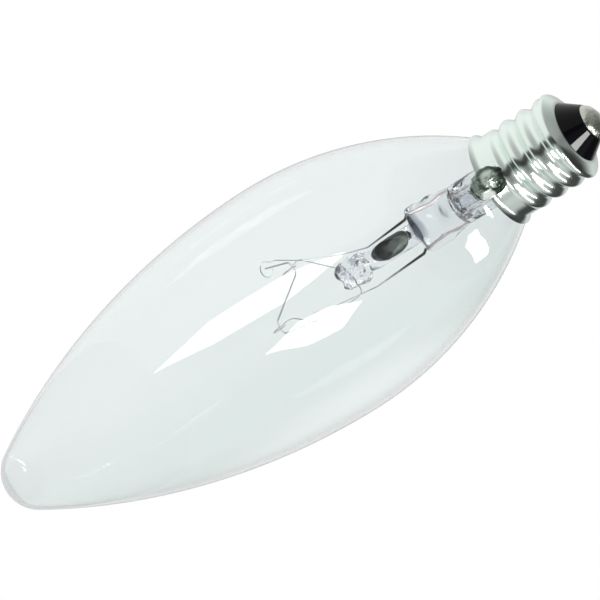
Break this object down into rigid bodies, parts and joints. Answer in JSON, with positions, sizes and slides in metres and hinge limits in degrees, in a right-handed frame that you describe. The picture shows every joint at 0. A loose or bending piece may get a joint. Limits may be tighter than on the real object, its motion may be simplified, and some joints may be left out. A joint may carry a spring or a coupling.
{
  "type": "torpedo candelabra incandescent bulb",
  "caption": "Clear torpedo incandescent bulb with a coiled filament strung on a glass stem, a small nickel screw cap, black glass insulator and soldered contacts",
  "frame": {"origin": "tip of the centre contact, on the axis of the lamp", "axes": "+Z runs along the axis out of the glass and through the cap, so the lamp hangs cap up. X runs through the two leads in the press, and the side solder is on the -Y side"},
  "size_m": [0.032, 0.032, 0.0954],
  "materials": {
    "clear_glass": "clear blown soda glass",
    "stem_glass": "clear lead glass, pressed and melted",
    "lead_wire": "drawn nickel wire",
    "support_wire": "drawn molybdenum wire",
    "tungsten": "fine coiled tungsten wire",
    "copper": "copper clad and copper wire",
    "nickel": "bright nickel plate on rolled brass sheet",
    "black_glass": "opaque black moulded glass",
    "brass": "stamped brass",
    "solder": "set tin lead solder",
    "cement": "baked basing cement"
  },
  "bodies": {
    "root": {"glass_envelope": "clear_glass", "stem_flare": "stem_glass", "arbor_rod": "stem_glass", "exhaust_tube": "stem_glass", "inner_lead_side": "lead_wire", "inner_lead_centre": "lead_wire", "support_hook_upper": "support_wire", "support_hook_lower": "support_wire", "filament": "tungsten", "seal_wire_side": "copper", "seal_wire_centre": "copper", "outer_lead_side": "copper", "outer_lead_centre": "copper", "screw_shell": "nickel", "insulator": "black_glass", "contact_plate": "brass", "centre_solder": "solder", "side_solder": "solder", "basing_cement": "cement"}
  },
  "joints": []
}
